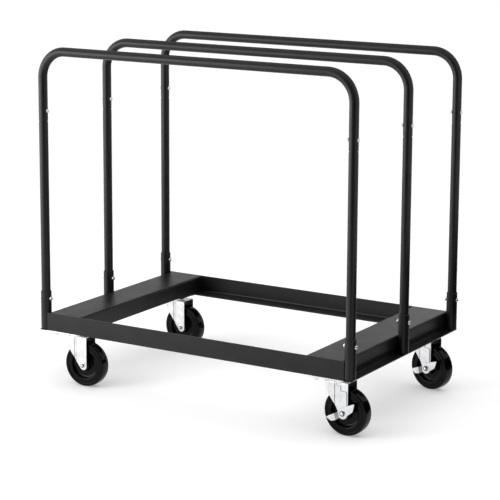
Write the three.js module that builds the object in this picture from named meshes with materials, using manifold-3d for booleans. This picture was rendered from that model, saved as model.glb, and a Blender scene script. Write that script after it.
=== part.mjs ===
// Sheet goods cart: a welded deck frame on four swivel casters, with three bolted tube uprights
// that hold boards on edge. Millimetres, +Z up, floor at z = 0, +X along the deck, origin on the
// floor under the middle of the deck.

import * as THREE from 'three';
import { mergeVertices } from 'three/addons/utils/BufferGeometryUtils.js';
import Module from 'manifold-3d';

const wasm = await Module();
wasm.setup();

// Fits between pieces
const FACE_GAP = 0.3;          // between faces that are welded or bolted together
const SLIP_FIT = 0.3;          // radial play of one tube inside another
const BOLT_PLAY = 0.5;         // radial play of a bolt in its hole
const TURN_PLAY = 0.4;         // play of a turning piece on its pin and beside its cheeks

// Deck frame
const DECK_LENGTH = 936;       // over the outer faces of the end channels
const DECK_WIDTH = 620;        // over the outer faces of the rails
const DECK_HEIGHT = 210.8;
const RAIL_HEIGHT = 50.8;
const RAIL_FLANGE = 48;
const RAIL_WALL = 4;
const RAIL_FILLET = 4;         // root radius of the angle
const RAIL_OVERRUN = 5;        // rail past the end channel, coped round the corner socket
const END_WIDTH = 111;
const END_WALL = 3;
const END_BEND = 5;            // outer bend radius of the end channel
const END_LIP = 26;            // ledge of the end channel that the sockets stand on
const PAD_DEPTH = 68;          // caster pad, measured inwards from the rail flange

// Sockets and uprights
const TUBE_DIAMETER = 25.4;
const TUBE_WALL = 1.5;
const SOCKET_WALL = 2;
const SOCKET_HEIGHT = 107;
const SOCKET_CHAMFER = 1.2;
const SOCKET_PROUD = 3;        // corner socket past the face of the rail
const SOCKET_BOLT_DROP = 21;   // bolt below the socket's top
const JOINT_HEIGHT = 750;      // lower end of the bow
const NECK_LENGTH = 4;         // swaged neck below the spigot
const SPIGOT_LENGTH = 48;
const BOW_BOLT_RISE = 28;      // bolt above the lower end of the bow
const BAR_HEIGHT = 943;        // centre line of the top bar
const BOW_RADIUS = 74;         // centre line of the bend

// Upright bolts
const BOLT_DIAMETER = 6;
const BOLT_HEAD = 11;
const BOLT_HEAD_HEIGHT = 4;
const BOLT_HEAD_RIM = 1.4;     // straight edge under the dome of the head
const BOLT_HEAD_FLAT = 6.6;    // flat on top of the dome
const BOLT_NUT_HEIGHT = 4.6;

// Casters
const CASTER_END = 51;         // swivel axis from the end of the deck
const CASTER_SIDE = 58.5;      // swivel axis from the face of the rail
const CASTER_OFFSET = 37;      // axle behind the swivel axis
const WHEEL_DIAMETER = 127;
const TREAD_WIDTH = 32;
const TREAD_CROWN = 1;         // drop from the middle of the tread to its shoulders
const SHOULDER = 4.5;          // round between tread and side face
const RIM_INNER = 92;          // diameter of the step inside the rim
const RIM_STEP = 3;
const DISC_INNER = 56;         // diameter of the step inside the disc
const DISC_STEP = 3.5;
const HUB_DIAMETER = 36;
const HUB_WIDTH = 40;
const PLATE_LENGTH = 102;
const PLATE_WIDTH = 114;
const PLATE_WALL = 4;
const PLATE_CORNER = 10;
const PLATE_HOLE = 9;
const HOLE_SPAN_X = 67;
const HOLE_SPAN_Y = 86;
const RACE_DIAMETER = 58;      // swivel race pressed into the plate
const RACE_DEPTH = 9.5;
const RACE_TAPER = 4;
const FORK_WALL = 3;
const FORK_BEND = 6;           // outer bend radius between crown and legs
const FORK_FOOT = 11;          // radius of the leg's foot
const FOOT_BACK = 2;           // middle of the foot, behind the axle
const FOOT_DROP = 2.5;         // middle of the foot, below the axle
const FORK_FRONT = 22;         // front of the crown, ahead of the swivel axis
const KNEE_FORWARD = 8;        // knee of the leg's leading edge, ahead of the swivel axis
const KNEE_RISE = 44;          // knee above the axle
const RIB_BACK = 13;           // middle of the leg's pressed rib, behind the swivel axis
const RIB_WIDTH = 9;
const RIB_DEPTH = 1.2;
const KING_PIN_DIAMETER = 12;
const KING_HEAD_DIAMETER = 22;
const KING_HEAD_DEPTH = 2.2;
const KING_WASHER = 30;
const KING_WASHER_WALL = 3;
const KING_NUT = 19;
const KING_NUT_HEIGHT = 7;
const SLEEVE_DIAMETER = 12;
const AXLE_DIAMETER = 8;
const AXLE_HEAD = 16;
const AXLE_HEAD_HEIGHT = 4;
const AXLE_HEAD_FLAT = 10;     // flat on top of the domed head
const AXLE_NUT_HEIGHT = 6.5;

// Side brakes
const LEAF_WALL = 1.5;
const LEAF_FRONT = 24;         // leading edge of the leaf, ahead of the axle
const LEAF_BACK = 10;          // trailing edge, behind the axle
const LEAF_SHOULDER = 58;      // shoulder of the leaf above the axle
const LEAF_TONGUE = 71;        // top of the tongue above the axle
const LEAF_TONGUE_WIDTH = 16;
const LEAF_CORNER = 6;
const LEVER_WALL = 2.5;
const LEVER_HUB = 15;          // radius of the lever round the axle
const LEVER_CRANK = 8;         // how far the pedal stands out from the hub
const CRANK_START = 17;
const CRANK_LENGTH = 7;
const PEDAL_REACH = 45;
const PEDAL_TOP = 9;           // upper edge of the pedal at the axle; it falls to zero at the tip
const PEDAL_TIP = 3;           // depth of the pedal at its tip
const PEDAL_BOTTOM = -13;
const PEDAL_BEVEL = 11;        // length of the rising edges below the pedal
const TAB_REACH = 42;          // tip of the release tab, behind the axle
const TAB_TOP = 20;            // tip of the release tab above the axle
const TAB_HEEL = 31;           // lower corner of the release tab, behind the axle

// Facets
const TUBE_SIDES = 12;
const BEND_STEPS = 5;
const BOLT_SIDES = 6;
const WHEEL_SIDES = 20;
const RACE_SIDES = 12;
const PIN_SIDES = 8;
const ARC_STEPS = 3;
const SHOULDER_STEPS = 2;

// Derived places
const RAIL_BOTTOM = DECK_HEIGHT - RAIL_HEIGHT;
const FLANGE_TOP = RAIL_BOTTOM + RAIL_WALL;
const LIP_TOP = RAIL_BOTTOM + END_WALL;
const TUBE_RADIUS = TUBE_DIAMETER / 2;
const TUBE_BORE = TUBE_RADIUS - TUBE_WALL;
const SPIGOT_RADIUS = TUBE_BORE - SLIP_FIT;
const SOCKET_BORE = TUBE_RADIUS + SLIP_FIT;
const SOCKET_RADIUS = SOCKET_BORE + SOCKET_WALL;
const SOCKET_X = DECK_LENGTH / 2 + FACE_GAP + SOCKET_RADIUS;
const SOCKET_FOOT = LIP_TOP + FACE_GAP;
const SOCKET_TOP = SOCKET_FOOT + SOCKET_HEIGHT;
const CORNER_Y = DECK_WIDTH / 2 + SOCKET_PROUD - SOCKET_RADIUS;
const SOCKET_BOLT_Z = SOCKET_TOP - SOCKET_BOLT_DROP;
const BOW_BOLT_Z = JOINT_HEIGHT + BOW_BOLT_RISE;
const BOLT_HOLE = BOLT_DIAMETER / 2 + BOLT_PLAY;
const CASTER_X = DECK_LENGTH / 2 - CASTER_END;
const CASTER_Y = DECK_WIDTH / 2 - CASTER_SIDE;
const PLATE_TOP = RAIL_BOTTOM - FACE_GAP;
const PLATE_BOTTOM = PLATE_TOP - PLATE_WALL;
const RACE_BOTTOM = PLATE_BOTTOM - RACE_DEPTH;
const CROWN_TOP = RACE_BOTTOM - FACE_GAP;
const CROWN_BOTTOM = CROWN_TOP - FORK_WALL;
const AXLE_Z = WHEEL_DIAMETER / 2;
const LEG_INNER = HUB_WIDTH / 2 + TURN_PLAY;
const LEG_OUTER = LEG_INNER + FORK_WALL;
const LEAF_FACE = LEG_OUTER + FACE_GAP + LEAF_WALL;
const LEVER_FACE = LEAF_FACE + FACE_GAP + LEVER_WALL;
const LONG = 4000;             // length of cutting solids that run right through
const OVERCUT = 1;             // how far a shaped cut runs past a face
const WELD = 1e-4;             // points closer than this are one

const FINISH = {
  powder: { color: 0x2c2c2f, roughness: 0.55, metalness: 0.1 },
  zinc: { color: 0xd6d8db, roughness: 0.3, metalness: 0.9 },
  tread: { color: 0x131315, roughness: 0.35, metalness: 0 },
};

// Closed triangle mesh of a geometry: shared vertices merged, collapsed faces dropped, faces out
function solid(geometry) {
  const bare = geometry.clone();
  bare.deleteAttribute('normal');
  bare.deleteAttribute('uv');
  const merged = mergeVertices(bare, WELD);
  const points = merged.attributes.position.array;
  const index = merged.index.array;
  const faces = [];
  let volume = 0;
  const a = new THREE.Vector3();
  const b = new THREE.Vector3();
  const c = new THREE.Vector3();
  for (let i = 0; i < index.length; i += 3) {
    const [p, q, r] = [index[i], index[i + 1], index[i + 2]];
    if (p === q || q === r || r === p) continue;
    faces.push([p, q, r]);
    a.fromArray(points, 3 * p);
    b.fromArray(points, 3 * q);
    c.fromArray(points, 3 * r);
    volume += a.dot(b.cross(c));
  }
  const wound = volume < 0 ? faces.map(([p, q, r]) => [p, r, q]) : faces;
  return new wasm.Manifold(new wasm.Mesh({
    numProp: 3,
    vertProperties: new Float32Array(points),
    triVerts: new Uint32Array(wound.flat()),
  }));
}

function geometryOf(body) {
  const mesh = body.getMesh();
  const geometry = new THREE.BufferGeometry();
  geometry.setAttribute('position', new THREE.BufferAttribute(new Float32Array(mesh.vertProperties), 3));
  geometry.setIndex(new THREE.BufferAttribute(new Uint32Array(mesh.triVerts), 1));
  geometry.computeVertexNormals();
  return geometry;
}

const join = (first, ...rest) => rest.reduce((sum, body) => sum.add(body), first);
const cut = (first, ...rest) => rest.reduce((sum, body) => sum.subtract(body), first);

// A box between two opposite corners
function block(from, to) {
  const size = from.map((value, axis) => Math.abs(to[axis] - value));
  const middle = from.map((value, axis) => (to[axis] + value) / 2);
  return solid(new THREE.BoxGeometry(...size).translate(...middle));
}

// A profile of radius and height turned about Z
function turned(profile, sides) {
  const points = profile.map(([radius, height]) => new THREE.Vector2(radius, height));
  return new THREE.LatheGeometry(points, sides).rotateX(Math.PI / 2);
}

// A round bar about Z, centred on its length
function bar(radius, length, sides) {
  return new THREE.CylinderGeometry(radius, radius, length, sides).rotateX(Math.PI / 2);
}

// A bore right through for a pin that turns in it: its flats keep the play off the pin's corners
function turningBore(pinDiameter, sides) {
  return bar((pinDiameter / 2 + TURN_PLAY) / Math.cos(Math.PI / sides), LONG, sides);
}

function prism(shape, length) {
  const options = { depth: length, bevelEnabled: false, curveSegments: ARC_STEPS / 2 };
  return new THREE.ExtrudeGeometry(shape, options).translate(0, 0, -length / 2);
}

// Prisms whose outline is drawn in (x, z) and runs along Y, or in (y, z) and runs along X
const alongY = (shape, length) => prism(shape, length).rotateX(Math.PI / 2);
const alongX = (shape, length) => alongY(shape, length).rotateZ(Math.PI / 2);

// Outline of a bent sheet: corners of its middle line, all bent square, with one outer radius
function bentStrip(corners, wall, outerRadius) {
  const line = corners.map(([x, y]) => new THREE.Vector2(x, y));
  const middle = outerRadius - wall / 2;
  const sideOf = (offset) => {
    const side = [];
    line.forEach((corner, i) => {
      const ahead = i < line.length - 1 ? line[i + 1].clone().sub(corner).normalize() : null;
      const back = i > 0 ? corner.clone().sub(line[i - 1]).normalize() : ahead;
      const left = new THREE.Vector2(-back.y, back.x);
      if (i === 0 || i === line.length - 1) {
        side.push(corner.clone().addScaledVector(left, offset));
        return;
      }
      const angle = Math.asin(back.cross(ahead));
      const inward = Math.sign(angle) * middle;
      const trim = middle * Math.tan(Math.abs(angle) / 2);
      const centre = corner.clone().addScaledVector(back, -trim).addScaledVector(left, inward);
      const spoke = left.clone().multiplyScalar(offset - inward);
      for (let step = 0; step <= ARC_STEPS; step += 1) {
        const swung = spoke.clone().rotateAround(new THREE.Vector2(), (angle * step) / ARC_STEPS);
        side.push(swung.add(centre));
      }
    });
    return side;
  };
  return new THREE.Shape([...sideOf(wall / 2), ...sideOf(-wall / 2).reverse()]);
}

function named(name, body, finish) {
  const mesh = new THREE.Mesh(geometryOf(body), new THREE.MeshStandardMaterial(FINISH[finish]));
  mesh.name = name;
  return mesh;
}

// Rails: angles with the flange at the foot, coped round the corner sockets, front one at -Y
function rail(side) {
  const face = DECK_WIDTH / 2;
  const reach = DECK_LENGTH / 2 + RAIL_OVERRUN;
  const angle = new THREE.Shape();
  angle.moveTo(face, RAIL_BOTTOM);
  angle.lineTo(face, DECK_HEIGHT);
  angle.lineTo(face - RAIL_WALL, DECK_HEIGHT);
  angle.lineTo(face - RAIL_WALL, FLANGE_TOP + RAIL_FILLET);
  const root = face - RAIL_WALL - RAIL_FILLET;
  angle.absarc(root, FLANGE_TOP + RAIL_FILLET, RAIL_FILLET, 0, -Math.PI / 2, true);
  angle.lineTo(face - RAIL_FLANGE, FLANGE_TOP);
  angle.lineTo(face - RAIL_FLANGE, RAIL_BOTTOM);
  const flangeEnd = DECK_LENGTH / 2 - END_WALL - FACE_GAP;
  let body = solid(alongX(angle, 2 * reach));
  for (const end of [-1, 1]) {
    const clear = block([end * flangeEnd, 0, 0], [end * LONG, face - RAIL_WALL, LONG]);
    const cope = bar(SOCKET_RADIUS + FACE_GAP, LONG, TUBE_SIDES).translate(end * SOCKET_X, CORNER_Y, 0);
    body = cut(body, clear, solid(cope), ...casterHoles(end * CASTER_X, CASTER_Y));
  }
  return side < 0 ? body.mirror([0, 1, 0]) : body;
}

// The four upright bolt holes of a caster plate, round its swivel axis
function casterHoles(x, y) {
  return [[1, 1], [-1, 1], [-1, -1], [1, -1]].map(([signX, signY]) => {
    const drill = bar(PLATE_HOLE / 2, LONG, PIN_SIDES);
    return solid(drill.translate(x + (signX * HOLE_SPAN_X) / 2, y + (signY * HOLE_SPAN_Y) / 2, 0));
  });
}

// End channel: inner flange, deck plate, outer web and the ledge under the sockets, right one at
// +X; the ledge has ears under the corner sockets, and the flange is notched over the rails' roots
function endChannel(side) {
  const outer = DECK_LENGTH / 2;
  const half = END_WALL / 2;
  const inner = outer - END_WIDTH;
  const section = bentStrip([
    [inner + half, FLANGE_TOP + FACE_GAP],
    [inner + half, DECK_HEIGHT - half],
    [outer - half, DECK_HEIGHT - half],
    [outer - half, RAIL_BOTTOM + half],
    [outer + END_LIP, RAIL_BOTTOM + half],
  ], END_WALL, END_BEND);
  const length = DECK_WIDTH - 2 * (RAIL_WALL + FACE_GAP);
  const ears = [-1, 1].map((end) => block(
    [outer + RAIL_OVERRUN + FACE_GAP, end * CORNER_Y, RAIL_BOTTOM],
    [outer + END_LIP, end * (CORNER_Y + SOCKET_RADIUS), LIP_TOP],
  ));
  const rootY = DECK_WIDTH / 2 - RAIL_WALL - RAIL_FILLET - FACE_GAP;
  const notches = [-1, 1].map((end) => block(
    [0, end * rootY, 0],
    [inner + END_WIDTH / 2, end * DECK_WIDTH, FLANGE_TOP + RAIL_FILLET + FACE_GAP],
  ));
  const body = cut(join(solid(alongY(section, length)), ...ears), ...notches);
  return side < 0 ? body.mirror([1, 0, 0]) : body;
}

// Flat pad that carries the inner row of caster bolts, level with the rail's flange
function casterPad(sideX, sideY) {
  const outer = DECK_LENGTH / 2;
  const edge = DECK_WIDTH / 2 - RAIL_FLANGE - FACE_GAP;
  const plate = block(
    [outer - END_WIDTH, edge - PAD_DEPTH, RAIL_BOTTOM],
    [outer - END_WALL - FACE_GAP, edge, FLANGE_TOP],
  );
  const body = cut(plate, ...casterHoles(CASTER_X, CASTER_Y));
  const across = sideX < 0 ? body.mirror([1, 0, 0]) : body;
  return sideY < 0 ? across.mirror([0, 1, 0]) : across;
}

// Cross hole along X for an upright bolt, through the axis of a tube at the given place
function boltHole(x, z) {
  const drill = bar(BOLT_HOLE, 4 * TUBE_DIAMETER, BOLT_SIDES);
  return solid(drill.rotateY(Math.PI / 2).translate(x, 0, z));
}

function socket() {
  const tube = turned([
    [SOCKET_BORE, SOCKET_FOOT],
    [SOCKET_RADIUS - SOCKET_CHAMFER, SOCKET_FOOT],
    [SOCKET_RADIUS, SOCKET_FOOT + SOCKET_CHAMFER],
    [SOCKET_RADIUS, SOCKET_TOP - SOCKET_CHAMFER],
    [SOCKET_RADIUS - SOCKET_CHAMFER, SOCKET_TOP],
    [SOCKET_BORE, SOCKET_TOP],
    [SOCKET_BORE, SOCKET_FOOT],
  ], TUBE_SIDES);
  return cut(solid(tube), boltHole(0, SOCKET_BOLT_Z));
}

// Post: straight tube whose upper end is necked down to a spigot for the bow
function post() {
  const neckTop = JOINT_HEIGHT - FACE_GAP;
  const spigotTop = JOINT_HEIGHT + SPIGOT_LENGTH;
  const tube = turned([
    [TUBE_BORE, SOCKET_FOOT],
    [TUBE_RADIUS, SOCKET_FOOT],
    [TUBE_RADIUS, neckTop - NECK_LENGTH],
    [SPIGOT_RADIUS, neckTop],
    [SPIGOT_RADIUS, spigotTop],
    [SPIGOT_RADIUS - TUBE_WALL, spigotTop],
    [SPIGOT_RADIUS - TUBE_WALL, neckTop],
    [TUBE_BORE, neckTop - NECK_LENGTH],
    [TUBE_BORE, SOCKET_FOOT],
  ], TUBE_SIDES);
  return cut(solid(tube), boltHole(0, SOCKET_BOLT_Z), boltHole(0, BOW_BOLT_Z));
}

// Centre line of a bow, with one step on each straight run and BEND_STEPS on each bend
class BowLine extends THREE.Curve {
  constructor() {
    super();
    const bend = (turn, start) => Array.from({ length: BEND_STEPS + 1 }, (_, step) => {
      const angle = start - (step / BEND_STEPS) * (Math.PI / 2);
      const x = turn * (SOCKET_X - BOW_RADIUS) + BOW_RADIUS * Math.cos(angle);
      return new THREE.Vector3(x, 0, BAR_HEIGHT - BOW_RADIUS + BOW_RADIUS * Math.sin(angle));
    });
    this.stations = [
      new THREE.Vector3(-SOCKET_X, 0, JOINT_HEIGHT),
      ...bend(-1, Math.PI),
      ...bend(1, Math.PI / 2),
      new THREE.Vector3(SOCKET_X, 0, JOINT_HEIGHT),
    ];
    this.steps = this.stations.length - 1;
  }

  getPointAt(u, target = new THREE.Vector3()) {
    return target.copy(this.stations[Math.round(u * this.steps)]);
  }

  getTangentAt(u, target = new THREE.Vector3()) {
    const { x, z } = this.getPointAt(u);
    const centreX = THREE.MathUtils.clamp(x, BOW_RADIUS - SOCKET_X, SOCKET_X - BOW_RADIUS);
    const rise = Math.max(z - (BAR_HEIGHT - BOW_RADIUS), 0);
    return target.set(rise, 0, centreX - x).normalize();
  }
}

function bow() {
  const ring = new THREE.Shape().absarc(0, 0, TUBE_RADIUS, 0, 2 * Math.PI);
  ring.holes.push(new THREE.Path().absarc(0, 0, TUBE_BORE, 0, 2 * Math.PI, true));
  const line = new BowLine();
  const tube = new THREE.ExtrudeGeometry(ring, {
    steps: line.steps,
    extrudePath: line,
    curveSegments: TUBE_SIDES / 2,
  });
  return cut(solid(tube), boltHole(-SOCKET_X, BOW_BOLT_Z), boltHole(SOCKET_X, BOW_BOLT_Z));
}

// Bolt with its nut, along X, head at -X, clamping a tube of the given radius
function uprightBolt(tubeRadius) {
  const shank = BOLT_DIAMETER / 2;
  const head = BOLT_HEAD / 2;
  const seat = tubeRadius + FACE_GAP;
  const body = turned([
    [0, -seat - BOLT_HEAD_HEIGHT],
    [BOLT_HEAD_FLAT / 2, -seat - BOLT_HEAD_HEIGHT],
    [head, -seat - BOLT_HEAD_RIM],
    [head, -seat],
    [shank, -seat],
    [shank, seat],
    [head, seat],
    [head, seat + BOLT_NUT_HEIGHT],
    [0, seat + BOLT_NUT_HEIGHT],
  ], BOLT_SIDES);
  return solid(body.rotateY(Math.PI / 2));
}

// Caster pieces, about the swivel axis at the origin with the wheel trailing towards +X
function topPlate() {
  const [halfX, halfY] = [PLATE_LENGTH / 2 - PLATE_CORNER, PLATE_WIDTH / 2 - PLATE_CORNER];
  const outline = new THREE.Shape();
  outline.absarc(halfX, halfY, PLATE_CORNER, 0, Math.PI / 2);
  outline.absarc(-halfX, halfY, PLATE_CORNER, Math.PI / 2, Math.PI);
  outline.absarc(-halfX, -halfY, PLATE_CORNER, Math.PI, 1.5 * Math.PI);
  outline.absarc(halfX, -halfY, PLATE_CORNER, 1.5 * Math.PI, 2 * Math.PI);
  const plate = solid(prism(outline, PLATE_WALL).translate(0, 0, (PLATE_TOP + PLATE_BOTTOM) / 2));
  const race = turned([
    [0, PLATE_TOP - PLATE_WALL / 2],
    [RACE_DIAMETER / 2, PLATE_TOP - PLATE_WALL / 2],
    [RACE_DIAMETER / 2, PLATE_BOTTOM],
    [RACE_DIAMETER / 2 - RACE_TAPER, RACE_BOTTOM],
    [0, RACE_BOTTOM],
  ], RACE_SIDES);
  const seat = turned([
    [0, PLATE_TOP + OVERCUT],
    [KING_HEAD_DIAMETER / 2 + FACE_GAP, PLATE_TOP + OVERCUT],
    [KING_HEAD_DIAMETER / 2 + FACE_GAP, PLATE_TOP - KING_HEAD_DEPTH - FACE_GAP],
    [KING_PIN_DIAMETER / 2 + FACE_GAP, PLATE_TOP - KING_HEAD_DEPTH - FACE_GAP],
    [KING_PIN_DIAMETER / 2 + FACE_GAP, RACE_BOTTOM - OVERCUT],
    [0, RACE_BOTTOM - OVERCUT],
  ], PIN_SIDES);
  return cut(join(plate, solid(race)), solid(seat), ...casterHoles(0, 0));
}

// King pin with its washer and nut under the crown of the fork
function kingPin() {
  const washerTop = CROWN_BOTTOM - FACE_GAP;
  const nutTop = washerTop - KING_WASHER_WALL;
  const nutBottom = nutTop - KING_NUT_HEIGHT;
  return solid(turned([
    [0, nutBottom],
    [KING_NUT / 2, nutBottom],
    [KING_NUT / 2, nutTop],
    [KING_WASHER / 2, nutTop],
    [KING_WASHER / 2, washerTop],
    [KING_PIN_DIAMETER / 2, washerTop],
    [KING_PIN_DIAMETER / 2, PLATE_TOP - KING_HEAD_DEPTH],
    [KING_HEAD_DIAMETER / 2, PLATE_TOP - KING_HEAD_DEPTH],
    [KING_HEAD_DIAMETER / 2, PLATE_TOP],
    [0, PLATE_TOP],
  ], PIN_SIDES));
}

// Upright ribs pressed inwards out of both legs' faces at the given distance from the fork's middle
function legRibs(face) {
  const [half, foot] = [RIB_WIDTH / 2, RIB_WIDTH / 4];
  const section = new THREE.Shape([
    [RIB_BACK - half, face + OVERCUT],
    [RIB_BACK - half, face],
    [RIB_BACK - foot, face - RIB_DEPTH],
    [RIB_BACK + foot, face - RIB_DEPTH],
    [RIB_BACK + half, face],
    [RIB_BACK + half, face + OVERCUT],
  ].map(([x, y]) => new THREE.Vector2(x, y)));
  const top = CROWN_TOP - FORK_BEND;
  const rib = solid(prism(section, top).translate(0, 0, top / 2));
  return [rib, rib.mirror([0, 1, 0])];
}

// Fork: one sheet bent to an inverted U with a rib in each leg, its legs raked back from the crown
// to the axle
function fork() {
  const half = LEG_OUTER - FORK_WALL / 2;
  const channel = bentStrip([
    [half, 0],
    [half, CROWN_TOP - FORK_WALL / 2],
    [-half, CROWN_TOP - FORK_WALL / 2],
    [-half, 0],
  ], FORK_WALL, FORK_BEND);
  const knee = new THREE.Vector2(-KNEE_FORWARD, AXLE_Z + KNEE_RISE);
  const foot = new THREE.Vector2(CASTER_OFFSET + FOOT_BACK, AXLE_Z - FOOT_DROP);
  const lead = knee.clone().sub(foot);
  const tangent = lead.angle() + Math.acos(FORK_FOOT / lead.length());
  const side = new THREE.Shape();
  side.moveTo(foot.x + FORK_FOOT, CROWN_TOP + OVERCUT);
  side.lineTo(-FORK_FRONT, CROWN_TOP + OVERCUT);
  side.lineTo(-FORK_FRONT, CROWN_BOTTOM - FORK_BEND);
  side.lineTo(knee.x, knee.y);
  side.absarc(foot.x, foot.y, FORK_FOOT, tangent, 2 * Math.PI);
  const pressed = cut(join(solid(alongX(channel, LONG)), ...legRibs(LEG_INNER)), ...legRibs(LEG_OUTER));
  const sheet = pressed.intersect(solid(alongY(side, 4 * LEG_OUTER)));
  const pin = turningBore(KING_PIN_DIAMETER, PIN_SIDES);
  const axle = bar(AXLE_DIAMETER / 2 + FACE_GAP, LONG, PIN_SIDES).rotateX(Math.PI / 2);
  return cut(sheet, solid(pin), solid(axle.translate(CASTER_OFFSET, 0, AXLE_Z)));
}

// Wheel about Y: crowned tread, rounded shoulders, stepped disc and a hub that spans the fork;
// its flats lie on the true circle and one of them stands on the floor
function wheel() {
  const radius = WHEEL_DIAMETER / 2;
  const shoulder = radius - TREAD_CROWN;
  const faceY = TREAD_WIDTH / 2;
  const bore = SLEEVE_DIAMETER / 2 + TURN_PLAY;
  const half = [
    [bore, HUB_WIDTH / 2],
    [HUB_DIAMETER / 2, HUB_WIDTH / 2],
    [HUB_DIAMETER / 2, faceY - RIM_STEP - DISC_STEP],
    [DISC_INNER / 2, faceY - RIM_STEP - DISC_STEP],
    [DISC_INNER / 2, faceY - RIM_STEP],
    [RIM_INNER / 2, faceY - RIM_STEP],
    [RIM_INNER / 2 + RIM_STEP, faceY],
  ];
  for (let step = 0; step <= SHOULDER_STEPS; step += 1) {
    const angle = (step / SHOULDER_STEPS) * (Math.PI / 2);
    half.push([
      shoulder - SHOULDER + SHOULDER * Math.sin(angle),
      faceY - SHOULDER + SHOULDER * Math.cos(angle),
    ]);
  }
  const other = half.map(([r, y]) => [r, -y]).reverse();
  const halfStep = Math.PI / WHEEL_SIDES;
  const outward = 1 / Math.cos(halfStep);
  const body = turned([...half, [radius, 0], ...other, half[0]], WHEEL_SIDES).rotateX(Math.PI / 2);
  return solid(body.rotateY(halfStep).scale(outward, 1, outward));
}

// Axle: sleeve between the legs, clamped by a bolt whose head bears on the stack at -Y
function axle(stackFace) {
  const sleeve = LEG_INNER - FACE_GAP / 2;
  const headSeat = stackFace + FACE_GAP;
  const nutSeat = LEG_OUTER + FACE_GAP;
  const bolt = AXLE_DIAMETER / 2;
  const head = AXLE_HEAD / 2;
  return solid(turned([
    [0, nutSeat + AXLE_NUT_HEIGHT],
    [head, nutSeat + AXLE_NUT_HEIGHT],
    [head, nutSeat],
    [bolt, nutSeat],
    [bolt, sleeve],
    [SLEEVE_DIAMETER / 2, sleeve],
    [SLEEVE_DIAMETER / 2, -sleeve],
    [bolt, -sleeve],
    [bolt, -headSeat],
    [head, -headSeat],
    [AXLE_HEAD_FLAT / 2, -headSeat - AXLE_HEAD_HEIGHT],
    [0, -headSeat - AXLE_HEAD_HEIGHT],
  ], PIN_SIDES).rotateX(-Math.PI / 2));
}

// Spring leaf of the brake, flat on the fork's outer leg; its tongue is held under the crown
function brakeLeaf() {
  const outline = new THREE.Shape();
  outline.absarc(0, 0, FORK_FOOT, Math.PI, 2 * Math.PI);
  outline.lineTo(LEAF_BACK, FORK_FOOT);
  outline.absarc(LEAF_BACK - LEAF_CORNER, LEAF_SHOULDER - LEAF_CORNER, LEAF_CORNER, 0, Math.PI / 2);
  outline.lineTo(LEAF_TONGUE_WIDTH - LEAF_FRONT, LEAF_SHOULDER);
  outline.lineTo(LEAF_TONGUE_WIDTH - LEAF_FRONT, LEAF_TONGUE);
  outline.lineTo(-LEAF_FRONT, LEAF_TONGUE);
  outline.lineTo(-LEAF_FRONT, LEAF_FRONT);
  const sheet = alongY(outline, LEAF_WALL).translate(0, LEAF_WALL / 2 - LEAF_FACE, 0);
  const hole = bar(AXLE_DIAMETER / 2 + FACE_GAP, LONG, PIN_SIDES).rotateX(Math.PI / 2);
  return cut(solid(sheet), solid(hole));
}

// Brake lever: rocker on the axle with a cranked pedal ahead and a release tab behind
function brakeLever() {
  const face = LEVER_WALL / 2 - LEVER_FACE;
  const [start, end] = [-CRANK_START, -CRANK_START - CRANK_LENGTH];
  const strip = new THREE.Shape([
    [TAB_REACH + LEVER_HUB, face + LEVER_WALL / 2],
    [start, face + LEVER_WALL / 2],
    [end, face + LEVER_WALL / 2 - LEVER_CRANK],
    [-PEDAL_REACH, face + LEVER_WALL / 2 - LEVER_CRANK],
    [-PEDAL_REACH, face - LEVER_WALL / 2 - LEVER_CRANK],
    [end - LEVER_WALL / 2, face - LEVER_WALL / 2 - LEVER_CRANK],
    [start - LEVER_WALL / 2, face - LEVER_WALL / 2],
    [TAB_REACH + LEVER_HUB, face - LEVER_WALL / 2],
  ].map(([x, y]) => new THREE.Vector2(x, y)));
  const pedal = new THREE.Shape([
    [0, PEDAL_TOP],
    [-PEDAL_REACH, 0],
    [-PEDAL_REACH, -PEDAL_TIP],
    [PEDAL_BEVEL - PEDAL_REACH, PEDAL_BOTTOM],
    [-2 * PEDAL_BEVEL, PEDAL_BOTTOM],
    [-PEDAL_BEVEL, -PEDAL_TOP],
    [0, -PEDAL_TOP],
  ].map(([x, z]) => new THREE.Vector2(x, z)));
  const tab = new THREE.Shape([
    [0, PEDAL_BOTTOM],
    [TAB_HEEL, 0],
    [TAB_REACH, TAB_TOP],
    [0, LEVER_HUB],
  ].map(([x, z]) => new THREE.Vector2(x, z)));
  const width = 4 * LEVER_FACE;
  const hub = bar(LEVER_HUB, width, WHEEL_SIDES).rotateX(Math.PI / 2);
  const rocker = join(solid(hub), solid(alongY(pedal, width)), solid(alongY(tab, width)));
  const hole = turningBore(AXLE_DIAMETER, PIN_SIDES).rotateX(Math.PI / 2);
  return cut(solid(prism(strip, 2 * PEDAL_REACH)).intersect(rocker), solid(hole));
}

const cart = new THREE.Group();

// Deck frame
cart.add(named('front_rail', rail(-1), 'powder'));
cart.add(named('rear_rail', rail(1), 'powder'));
cart.add(named('left_end_channel', endChannel(-1), 'powder'));
cart.add(named('right_end_channel', endChannel(1), 'powder'));

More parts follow.
